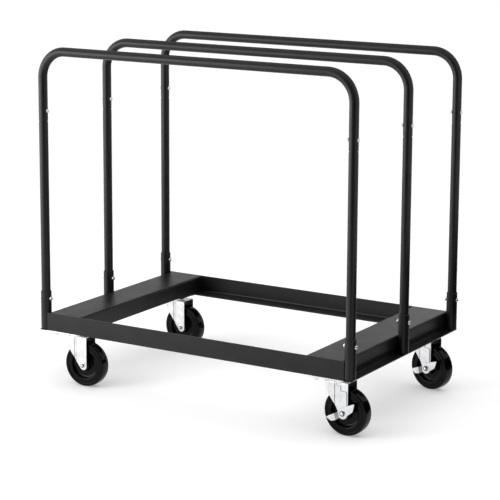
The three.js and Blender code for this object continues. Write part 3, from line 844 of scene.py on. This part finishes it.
@dataclass
class Upright:
    """One inverted-U upright: two sockets, two posts, a bow and their bolts."""

    row: str
    body: str = "frame"
    sides: int = 48
    bend_radius: float = 74.0
    tube_wall: float = 1.5
    socket_wall: float = 2.0
    socket_chamfer: float = 1.2
    slip: float = 0.3
    neck: float = 4.0
    head: float = 11.0
    head_height: float = 4.0
    head_rim: float = 0.5
    nut_flats: float = 10.0
    nut_height: float = 4.6

    def build(self) -> None:
        """Makes the pieces of the upright."""
        for end in End:
            self.socket(end)
            self.post(end)
            self.bolt(f"{self.row}_{end.word}_socket_bolt", f"{self.row}_{end.word}_socket", end)
            self.bolt(f"{self.row}_{end.word}_bow_bolt", f"{self.row}_{end.word}_post", end)
        self.bow()

    def socket(self, end: End) -> None:
        """A short tube with turned ends, welded to the deck.

        Args:
            end: the end of the cart.
        """
        node = f"{self.row}_{end.word}_socket"
        low, high = (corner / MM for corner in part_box(node))
        outer = (high.x - low.x) / 2
        bore = outer - self.socket_wall
        cut = self.socket_chamfer
        ring = [(bore, low.z), (outer - cut, low.z), (outer, low.z + cut), (outer, high.z - cut),
                (outer - cut, high.z), (bore, high.z), (bore, low.z)]
        at = middle(node)
        shape = Shape().turn(ring, self.sides).place(Matrix.Translation((at.x, at.y, 0)))
        Piece(f"{node}_tube", self.body, Slot.COAT, (node,), edge=0.4, sharp=30).make(shape)

    def post(self, end: End) -> None:
        """A straight tube, necked at the top to the bow's spigot.

        Args:
            end: the end of the cart.
        """
        node = f"{self.row}_{end.word}_post"
        low, high = (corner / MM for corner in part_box(node))
        outer = (high.x - low.x) / 2
        bore = outer - self.tube_wall
        spigot = bore - self.slip
        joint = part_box(f"{self.row}_bow")[0].z / MM - self.slip
        ring = [(bore, low.z), (outer, low.z), (outer, joint - self.neck), (outer - 0.9, joint - self.neck / 2),
                (spigot, joint), (spigot, high.z), (spigot - self.tube_wall, high.z),
                (spigot - self.tube_wall, joint), (bore, joint - self.neck), (bore, low.z)]
        at = middle(node)
        shape = Shape().turn(ring, self.sides).place(Matrix.Translation((at.x, at.y, 0)))
        Piece(f"{node}_tube", self.body, Slot.COAT, (node,), sharp=30).make(shape)

    def bow(self) -> None:
        """The bent tube across the top, swept along its centre line."""
        node = f"{self.row}_bow"
        low, high = (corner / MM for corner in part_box(node))
        radius = (high.y - low.y) / 2
        y = (low.y + high.y) / 2
        reach = high.x - radius
        bar = high.z - radius
        rise = bar - self.bend_radius
        shape = Shape()
        ring = bmesh.ops.create_circle(shape.bm, cap_ends=False, segments=self.sides, radius=radius,
                                       matrix=Matrix.Translation((-reach, y, low.z)))
        edges = list({e for v in ring["verts"] for e in v.link_edges})
        edges = shape.run(edges, (0, 0, rise - low.z))
        edges = shape.swing(edges, (self.bend_radius - reach, y, rise), (0, 1, 0), 90, 20)
        edges = shape.run(edges, (2 * (reach - self.bend_radius), 0, 0))
        edges = shape.swing(edges, (reach - self.bend_radius, y, rise), (0, 1, 0), 90, 20)
        shape.run(edges, (0, 0, low.z - rise))
        shape.close()
        Piece(f"{node}_tube", self.body, Slot.COAT, (node,), wall=self.tube_wall, side=-1.0, sharp=30).make(shape)

    def bolt(self, node: str, through: str, end: End) -> None:
        """A round-headed bolt with its nut, across a tube.

        Args:
            node: the bolt's node.
            through: the node of the tube that it crosses.
            end: the end of the cart; the head faces outwards.
        """
        low, high = (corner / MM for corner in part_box(through))
        seat = (high.x - low.x) / 2 + self.slip
        shank = 3.0
        rise = self.head_height - self.head_rim
        dome = [(x * self.head / 2, -seat - self.head_rim - z * rise) for x, z in arc(1.0, 90, 0, 5)]
        rod = [(self.head / 2, -seat), (shank, -seat), (shank, seat + self.nut_height - 0.4),
               (shank - 0.6, seat + self.nut_height), (0, seat + self.nut_height)]
        shape = Shape().turn([*dome, *rod], 24)
        shape.take(Shape().hexagon(self.nut_flats, seat, seat + self.nut_height - 0.8, 0.7))
        at = middle(node)
        facing = Matrix.Rotation(math.radians(90 if end is End.LEFT else -90), 4, "Y")
        shape.place(Matrix.Translation((middle(through).x, at.y, at.z)) @ facing)
        Piece(f"{node}_fastener", self.body, Slot.BOLT, (node,), sharp=35).make(shape)


@dataclass
class Caster:
    """One swivel caster: plate, king pin, fork, wheel, axle and, where it has one, its side brake."""

    name: str
    lever: float | None = None
    plate_wall: float = 4.0
    plate_corner: float = 10.0
    hole_span: tuple = (67.0, 86.0)
    race: float = 29.0
    race_taper: float = 4.0
    fork_wall: float = 3.0
    fork_bend: float = 4.5
    fork_front: float = 22.0
    foot: float = 11.0
    foot_back: float = 2.0
    foot_drop: float = 2.5
    leg_inner: float = 20.4
    knee: tuple = (-8.0, 107.5)
    rib_back: float = 13.0
    rib_width: float = 9.0
    rib_depth: float = 1.6
    rib_fade: float = 5.0
    pin_washer: float = 15.0
    pin_nut: float = 19.0
    tread: float = 32.0
    shoulder: float = 4.5
    crown: float = 1.0
    hub: float = 18.0
    hub_half: float = 20.0
    bore: float = 6.4
    disc_half: float = 6.6
    dish: float = 38.3
    rim_half: float = 15.8
    groove: float = 52.5
    groove_half: float = 14.4
    leaf_wall: float = 1.5
    lever_wall: float = 2.5
    crank: float = 8.0
    crank_start: float = -13.0
    crank_end: float = -20.0
    gap: float = 0.3

    def __post_init__(self) -> None:
        """Finds the caster's place, heights and how it is swivelled from the part's nodes."""
        plate = middle(f"{self.name}_caster_plate")
        wheel = middle(f"{self.name}_wheel")
        low, high = (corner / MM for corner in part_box(f"{self.name}_caster_plate"))
        self.plate_half = (high - low) / 2
        self.plate_top, self.race_bottom = high.z, low.z
        self.crown_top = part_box(f"{self.name}_fork")[1].z / MM
        self.axle_height = self.wheel_radius = wheel.z
        trail = (wheel - plate).to_2d()
        self.offset = trail.length
        heading = math.atan2(trail.y, trail.x)
        self.fixed = Matrix.Translation((plate.x, plate.y, 0))
        self.turned = self.fixed @ Matrix.Rotation(heading, 4, "Z")
        self.axle_place = self.turned @ Matrix.Translation((self.offset, 0, self.axle_height))
        self.swivel_body = f"{self.name}_swivel_fork"
        self.leg_outer = self.leg_inner + self.fork_wall
        self.leaf_face = self.leg_outer + self.gap + self.leaf_wall
        self.lever_face = self.leaf_face + self.gap + self.lever_wall

    def build(self) -> None:
        """Makes the pieces of the caster."""
        self.plate()
        self.mounting_bolts()
        self.king_pin()
        self.fork()
        self.wheel()
        self.axle()
        if self.lever is not None:
            self.brake_leaf()
            self.brake_lever()

    def plate(self) -> None:
        """The top plate with the pressed race under it."""
        shape = Shape()
        made = bmesh.ops.create_grid(shape.bm, x_segments=1, y_segments=1, size=1.0)["verts"]
        bmesh.ops.scale(shape.bm, vec=(self.plate_half.x, self.plate_half.y, 1), verts=made)
        shape.round_corners(made, self.plate_corner, 6)
        shape.place(Matrix.Translation((0, 0, self.plate_top)))
        shape.extrude((0, 0, -self.plate_wall))
        bottom = self.plate_top - self.plate_wall
        neck = self.race - self.race_taper
        cup = [(0, bottom + 2.0), (self.race, bottom + 2.0), (self.race, bottom), (self.race - 0.4, bottom - 1.6),
               (neck, self.race_bottom + 0.8), (neck - 1.2, self.race_bottom), (0, self.race_bottom)]
        shape.take(Shape().turn(cup, 64))
        shape.place(self.fixed)
        node = f"{self.name}_caster_plate"
        Piece(f"{node}_pressing", "frame", Slot.CASTER, (node,), edge=0.5).make(shape)

    def mounting_bolts(self) -> None:
        """The nuts and bolt ends under the plate's four holes."""
        shape = Shape()
        bottom = self.plate_top - self.plate_wall
        for x in (-0.5, 0.5):
            for y in (-0.5, 0.5):
                nut = Shape().hexagon(13.0, 0, 6.5, 1.0)
                end = [(0, 9.0), (3.2, 9.0), (3.9, 8.2), (3.9, 0.0), (0, 0.0)]
                nut.take(Shape().turn(end, 20))
                flange = [(3.9, 0.0), (8.0, 0.0), (8.0, 0.7), (7.2, 1.4), (3.9, 1.4), (3.9, 0.0)]
                nut.take(Shape().turn(flange, 24))
                nut.place(Matrix.Rotation(math.pi, 4, "X"))
                nut.place(Matrix.Translation((x * self.hole_span[0], y * self.hole_span[1], bottom)))
                shape.take(nut)
        shape.place(self.fixed)
        Piece(f"{self.name}_mounting_nuts", "frame", Slot.BOLT, sharp=35).make(shape)

    def king_pin(self) -> None:
        """The king pin's head, washer and nut."""
        washer = self.crown_top - self.fork_wall - self.gap
        nut = washer - 3.0
        pin = [(0, self.plate_top), (10.2, self.plate_top), (11.0, self.plate_top - 0.8),
               (11.0, self.plate_top - 2.2), (6.0, self.plate_top - 2.2), (6.0, washer), (self.pin_washer, washer),
               (self.pin_washer, nut + 0.4), (self.pin_washer - 0.4, nut), (6.0, nut), (6.0, nut - 8.2),
               (5.2, nut - 9.0), (0, nut - 9.0)]
        shape = Shape().turn(pin, 40)
        shape.take(Shape().hexagon(self.pin_nut, 0, 7.0, 1.2).place(
            Matrix.Translation((0, 0, nut)) @ Matrix.Rotation(math.pi, 4, "X")))
        shape.place(self.fixed)
        node = f"{self.name}_king_pin"
        Piece(f"{node}_bolt", "frame", Slot.CASTER, (node,), sharp=35).make(shape)

    def fork(self) -> None:
        """One sheet bent to an inverted U, with raked legs and rounded ends at the axle."""
        half = self.leg_outer - self.fork_wall / 2
        bend = self.fork_bend
        top = self.crown_top - self.fork_wall / 2
        foot = Vector((self.offset + self.foot_back, self.axle_height - self.foot_drop))
        back, low = foot.x + self.foot, foot.y - self.foot
        rake = Vector(self.knee) - foot
        tangent = math.atan2(rake.y, rake.x) + math.acos(self.foot / rake.length)
        reach = self.foot * math.tan((1.5 * math.pi - tangent) / 2)
        shape = Shape()
        corners = [(back, top - bend), (-self.fork_front, top - bend), (-self.fork_front, top - bend - 6.0), self.knee,
                   (foot.x - reach, low), (back, low)]
        leg = shape.outline(corners, -half)
        verts = leg.verts[:]
        shape.round_corners([verts[5]], self.foot, 10)
        shape.round_corners([verts[4]], reach, 8)
        self._press_rib(shape, top - bend - self.rib_fade)
        upper = [e for e in shape.bm.edges if all(abs(v.co.z - top + bend) < 0.01 for v in e.verts)]
        crown = shape.swing(upper, (0, bend - half, top - bend), (1, 0, 0), -90, 6)
        shape.run(crown, (0, half - bend, 0))
        shape.close()
        bmesh.ops.mirror(shape.bm, geom=shape.bm.verts[:] + shape.bm.edges[:] + shape.bm.faces[:], axis="Y",
                         merge_dist=0.01)
        shape.close()
        shape.place(self.turned)
        node = f"{self.name}_fork"
        # Painted shade on the inner faces of the legs and crown; the crown's top edge keeps the plain finish.
        Piece(f"{node}_sheet", self.swivel_body, Slot.CASTER, (node,), wall=self.fork_wall, edge=0.5,
              painted_shade_inside=True, bright_above=self.crown_top - 0.9 * self.fork_wall).make(shape)

    def _press_rib(self, shape: Shape, rib_top: float) -> None:
        """Presses an upright rib inwards into the fork's near leg and paints half shade on its sloped walls.

        Args:
            shape: the leg, still flat.
            rib_top: height where the rib starts to fade towards the crown.
        """
        foot = self.rib_width / 4
        cuts = [((self.rib_back + step * foot, 0, 0), (1, 0, 0)) for step in (-2, -1, 1, 2)]
        for place, normal in [*cuts, ((0, 0, rib_top), (0, 0, 1))]:
            whole = shape.bm.verts[:] + shape.bm.edges[:] + shape.bm.faces[:]
            bmesh.ops.bisect_plane(shape.bm, geom=whole, plane_co=place, plane_no=normal, dist=1e-4)
        floor = [v for v in shape.bm.verts if abs(v.co.x - self.rib_back) < foot + 0.01 and v.co.z < rib_top + 0.01]
        bmesh.ops.translate(shape.bm, verts=floor, vec=(0, self.rib_depth, 0))
        shape.bm.normal_update()
        # Painted shade: the rib's sloped walls get the half grade, a dark line along the groove.
        shape.dull_and_shade(lambda face: 0.3 < abs(face.normal.x) < 0.95, HALF_PAINTED_SHADE)

    def wheel(self) -> None:
        """The moulded wheel: hub, stepped disc, rim and a crowned tread."""
        face = self.tread / 2
        ring = self.wheel_radius - self.crown - self.shoulder
        shoulder = [(ring + x, face - self.shoulder + z) for x, z in arc(self.shoulder, 90, 0, 9)]
        flank = softened([(self.bore, self.hub_half, 0.0), (self.hub, self.hub_half, 1.2),
                          (self.hub + 0.75, self.disc_half, 3.2), (self.dish, self.disc_half, 4.8),
                          (self.dish + 2.3, self.rim_half, 2.0), (self.groove - 1.5, self.rim_half, 0.6),
                          (self.groove - 0.4, self.groove_half, 0.0), (self.groove + 0.4, self.groove_half, 0.0),
                          (self.groove + 1.7, face, 0.7), (*shoulder[0], 0.0)])
        half = flank + shoulder[1:] + [(self.wheel_radius - self.crown / 4, face / 3.4)]
        mirrored = [(radius, -y) for radius, y in reversed(half)]
        shape = Shape().turn([*half, (self.wheel_radius, 0.0), *mirrored, half[0]], 96)
        shape.place(self.axle_place @ Matrix.Rotation(math.pi / 2, 4, "X"))
        node = f"{self.name}_wheel"
        Piece(f"{node}_moulding", f"{self.name}_rolling_wheel", Slot.WHEEL, (node,), sharp=50).make(shape)

    def axle(self) -> None:
        """The axle bolt with its sleeve, its head on the near cheek and its nut on the far one."""
        stack = (self.leg_outer if self.lever is None else self.lever_face) + self.gap
        sleeve = self.leg_inner - 0.15
        nut_seat = self.leg_outer + self.gap
        cap = 3.6 if self.lever is None else 4.8
        dome = [(x * cap, stack + 3.0 + 2.6 * z) for x, z in arc(1.0, 90, 0, 4)]
        rod = [(cap, stack + 0.2), (cap + 2.4, stack + 0.2), (cap + 2.7, stack + 1.2), (8.0, stack + 0.8),
               (8.0, stack), (4.0, stack), (4.0, sleeve), (6.0, sleeve), (6.0, -sleeve), (4.0, -sleeve),
               (4.0, -nut_seat - 5.8), (3.3, -nut_seat - 6.5), (0, -nut_seat - 6.5)]
        shape = Shape().turn([*dome, *rod], 32)
        # Painted shade on the flat ring round the head's dome, at the full grade.
        shape.dull_and_shade(lambda face: abs(face.calc_center_median().z - stack - 0.2) < 0.1)
        shape.take(Shape().hexagon(13.0, 0, 5.6, 1.0).place(
            Matrix.Translation((0, 0, -nut_seat)) @ Matrix.Rotation(math.pi, 4, "X")))
        shape.place(self.axle_place @ Matrix.Rotation(math.pi / 2, 4, "X"))
        node = f"{self.name}_axle"
        Piece(f"{node}_bolt", self.swivel_body, Slot.BOLT, (node,), sharp=35).make(shape)

    def brake_leaf(self) -> None:
        """The spring leaf on the near cheek, with its tongue under the crown."""
        shape = Shape()
        corners = [(-11.0, -11.0), (11.0, -11.0), (11.0, 1.0), (10.0, 11.0), (10.0, 58.0), (-8.0, 58.0), (-8.0, 71.0),
                   (-24.0, 71.0), (-24.0, 24.0), (-11.0, 1.0)]
        leaf = shape.outline(corners, self.leaf_wall / 2 - self.leaf_face)
        verts = leaf.verts[:]
        shape.round_corners(verts[0:2], 10.9, 10)
        shape.round_corners([verts[4]], 6.0, 6)
        shape.round_corners([verts[7], verts[6]], 3.0, 4)
        shape.close()
        shape.place(self.axle_place)
        node = f"{self.name}_brake_leaf"
        # Its rim faces are dulled cut edges that also paint a dark shade outline.
        Piece(f"{node}_spring", self.swivel_body, Slot.CASTER, (node,), wall=self.leaf_wall, edge=0.3).make(shape)

    def brake_lever(self) -> None:
        """The rocker: a pedal cranked outwards ahead of the axle and a release tab behind it."""
        shape = Shape()
        corners = [(-45.0, 0.0), *arc(15.0, 155, 90, 3), (42.0, 20.0), (31.0, 0.0), *arc(15.0, -30, -141.5, 5),
                   (-22.0, -13.0), (-34.0, -13.0), (-45.0, -3.0)]
        lever = shape.outline(corners, self.lever_wall / 2 - self.lever_face)
        verts = lever.verts[:]
        shape.round_corners([verts[0], verts[15]], 1.3, 3)
        shape.round_corners([verts[5], verts[6], verts[13], verts[14]], 2.4, 4)
        for x in (self.crank_start, self.crank_end):
            whole = shape.bm.verts[:] + shape.bm.edges[:] + shape.bm.faces[:]
            bmesh.ops.bisect_plane(shape.bm, geom=whole, plane_co=(x, 0, 0), plane_no=(1, 0, 0))
        pedal = [v for v in shape.bm.verts if v.co.x < self.crank_end + 0.01]
        bmesh.ops.translate(shape.bm, verts=pedal, vec=(0, -self.crank, 0))
        folds = [e for e in shape.bm.edges if all(
            min(abs(v.co.x - self.crank_start), abs(v.co.x - self.crank_end)) < 0.01 for v in e.verts)
            and abs(e.verts[0].co.x - e.verts[1].co.x) < 0.01]
        shape.round_edges(folds, 1.6, 3)
        shape.close()
        # Painted shade on the crank's sloped faces, at the half grade.
        shape.dull_and_shade(lambda face: abs(face.normal.x) > 0.4, HALF_PAINTED_SHADE)
        shape.place(self.axle_place @ Matrix.Rotation(math.radians(-self.lever), 4, "Y"))
        node = f"{self.name}_brake_lever"
        Piece(f"{node}_plate", f"{self.name}_brake_rocker", Slot.CASTER, (node,), wall=self.lever_wall,
              edge=0.4).make(shape)


@dataclass(frozen=True)
class Sun:
    """A far, soft light."""

    name: str
    strength: float
    angle: float
    comes_from: tuple

    def build(self) -> None:
        """Makes the light."""
        data = bpy.data.lights.new(self.name, "SUN")
        data.energy = self.strength
        data.angle = math.radians(self.angle)
        lamp = bpy.data.objects.new(self.name, data)
        lamp.rotation_euler = Vector(self.comes_from).to_track_quat("Z", "Y").to_euler()
        lamp.visible_glossy = False
        bpy.context.collection.objects.link(lamp)


@dataclass(frozen=True)
class SoftBox:
    """A near light with a wide white face."""

    name: str
    place: tuple
    aim: tuple
    size: tuple
    power: float
    gloss_only: bool = False

    def build(self) -> None:
        """Makes the light."""
        data = bpy.data.lights.new(self.name, "AREA")
        data.shape = "RECTANGLE"
        data.size, data.size_y = self.size
        data.energy = self.power
        lamp = bpy.data.objects.new(self.name, data)
        lamp.location = self.place
        lamp.rotation_euler = (Vector(self.place) - Vector(self.aim)).to_track_quat("Z", "Y").to_euler()
        lamp.visible_camera = False
        lamp.visible_diffuse = not self.gloss_only
        bpy.context.collection.objects.link(lamp)


@dataclass(frozen=True)
class Flag:
    """A black board that keeps light off in reflections."""

    name: str
    place: tuple
    heading: float
    tilt: float
    size: tuple


@dataclass
class Studio:
    """Floor, light and camera."""

    floor_size: float = 240.0
    sky: float = 0.06
    top: Sun = Sun("soft top light", 2.5, 105.0, (0.0, 0.02, 1.0))
    box: SoftBox = SoftBox("front soft box", (-1.75, -2.15, 0.85), (0.0, 0.0, 0.50), (1.5, 1.6), 38.0)
    strip: SoftBox = SoftBox("left strip light", (-2.30, -0.75, 0.75), (0.0, 0.0, 0.55), (1.2, 1.5), 15.0, True)
    flags: tuple = (Flag("side_flag", (0.86, 0.85, 0.18), 90.0, 90.0, (2.4, 0.36)),
                    Flag("side_floor_flag", (0.82, 0.85, 0.003), 90.0, 0.0, (2.4, 0.08)),
                    Flag("lens_flag", (1.0, -1.6, 1.1), 31.4, 90.0, (1.7, 2.2)),
                    Flag("rear_flag", (-2.41, 2.69, 0.40), 31.4, 90.0, (2.8, 0.62)),
                    Flag("high_rear_flag", (-0.5, 3.0, 2.77), 20.0, 90.0, (6.0, 2.3)),
                    Flag("rear_floor_flag", (0.05, 1.31, 0.003), 0.0, 0.0, (0.5, 1.66)))
    yaw: float = 0.5482
    pitch: float = 0.1858
    roll: float = 0.005
    focal_px: float = 1832.5
    image_px: float = 500.0
    sensor: float = 36.0
    shift: float = -0.10
    eye: tuple = (2.6022, -4.2598, 1.4685)

    def build(self) -> None:
        """Makes the studio."""
        self.floor()
        self.sky_light()
        for light in (self.top, self.box, self.strip):
            light.build()
        for flag in self.flags:
            self.flag(flag)
        self.camera()
        bpy.context.scene.view_settings.view_transform = "Standard"

    def board(self, name: str, half: tuple, place: Matrix, material: bpy.types.Material) -> bpy.types.Object:
        """A flat board of the studio.

        Args:
            name: the board's name.
            half: half its width and height.
            place: where it stands.
            material: its material.

        Returns:
            The board.
        """
        mesh = bpy.data.meshes.new(name)
        bm = bmesh.new()
        bmesh.ops.create_grid(bm, x_segments=1, y_segments=1, size=1.0)
        bmesh.ops.transform(bm, matrix=place @ Matrix.Diagonal((*half, 1.0, 1.0)), verts=bm.verts[:])
        bm.to_mesh(mesh)
        bm.free()
        mesh.materials.append(material)
        board = bpy.data.objects.new(name, mesh)
        bpy.context.collection.objects.link(board)
        return board

    def floor(self) -> None:
        """A plain pale floor that reaches to the horizon."""
        half = self.floor_size / 2
        self.board("studio_floor", (half, half), Matrix(), FloorPaper().material())

    def flag(self, flag: Flag) -> None:
        """A black flag, seen in reflections alone.

        Args:
            flag: the flag to set up.
        """
        turn = (Matrix.Rotation(math.radians(flag.heading), 4, "Z")
                @ Matrix.Rotation(math.radians(flag.tilt), 4, "X"))
        half = (flag.size[0] / 2, flag.size[1] / 2)
        cloth = FlagCloth(f"{flag.name} cloth").material()
        board = self.board(flag.name, half, Matrix.Translation(flag.place) @ turn, cloth)
        board.visible_camera = False
        board.visible_diffuse = False
        board.visible_shadow = False

    def sky_light(self) -> None:
        """An even sky, dim to the object and white to the lens and to metal."""
        world = bpy.data.worlds.new("studio sky")
        world.use_nodes = True
        bpy.context.scene.world = world
        graph = Graph(world.node_tree)
        strength = self.sky + (1.0 - self.sky) * graph.seen()
        sky = graph.add("ShaderNodeBackground", None, {"Color": (1, 1, 1, 1), "Strength": strength})
        graph.add("ShaderNodeOutputWorld", None, {"Surface": sky.outputs[0]})

    def camera(self) -> None:
        """The photograph's viewpoint."""
        data = bpy.data.cameras.new("lens")
        data.sensor_width = self.sensor
        data.lens = self.focal_px * self.sensor / self.image_px
        data.shift_y = self.shift
        data.clip_end = 400.0
        camera = bpy.data.objects.new("lens", data)
        turn = (Matrix.Rotation(self.yaw, 4, "Z") @ Matrix.Rotation(math.pi / 2 - self.pitch, 4, "X")
                @ Matrix.Rotation(self.roll, 4, "Z"))
        camera.matrix_world = Matrix.Translation(self.eye) @ turn
        bpy.context.collection.objects.link(camera)
        bpy.context.scene.camera = camera


def main() -> None:
    """Builds the cart's looks and the studio."""
    logging.basicConfig(level=logging.INFO, format="%(message)s")
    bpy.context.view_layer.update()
    DeckFrame().build()
    for row in ("front", "middle", "rear"):
        Upright(row).build()
    levers = {"front_left": None, "front_right": 16.0, "rear_left": None, "rear_right": 10.0}
    for name, lever in levers.items():
        Caster(name, lever).build()
    Studio().build()


if __name__ == "__main__":
    main()
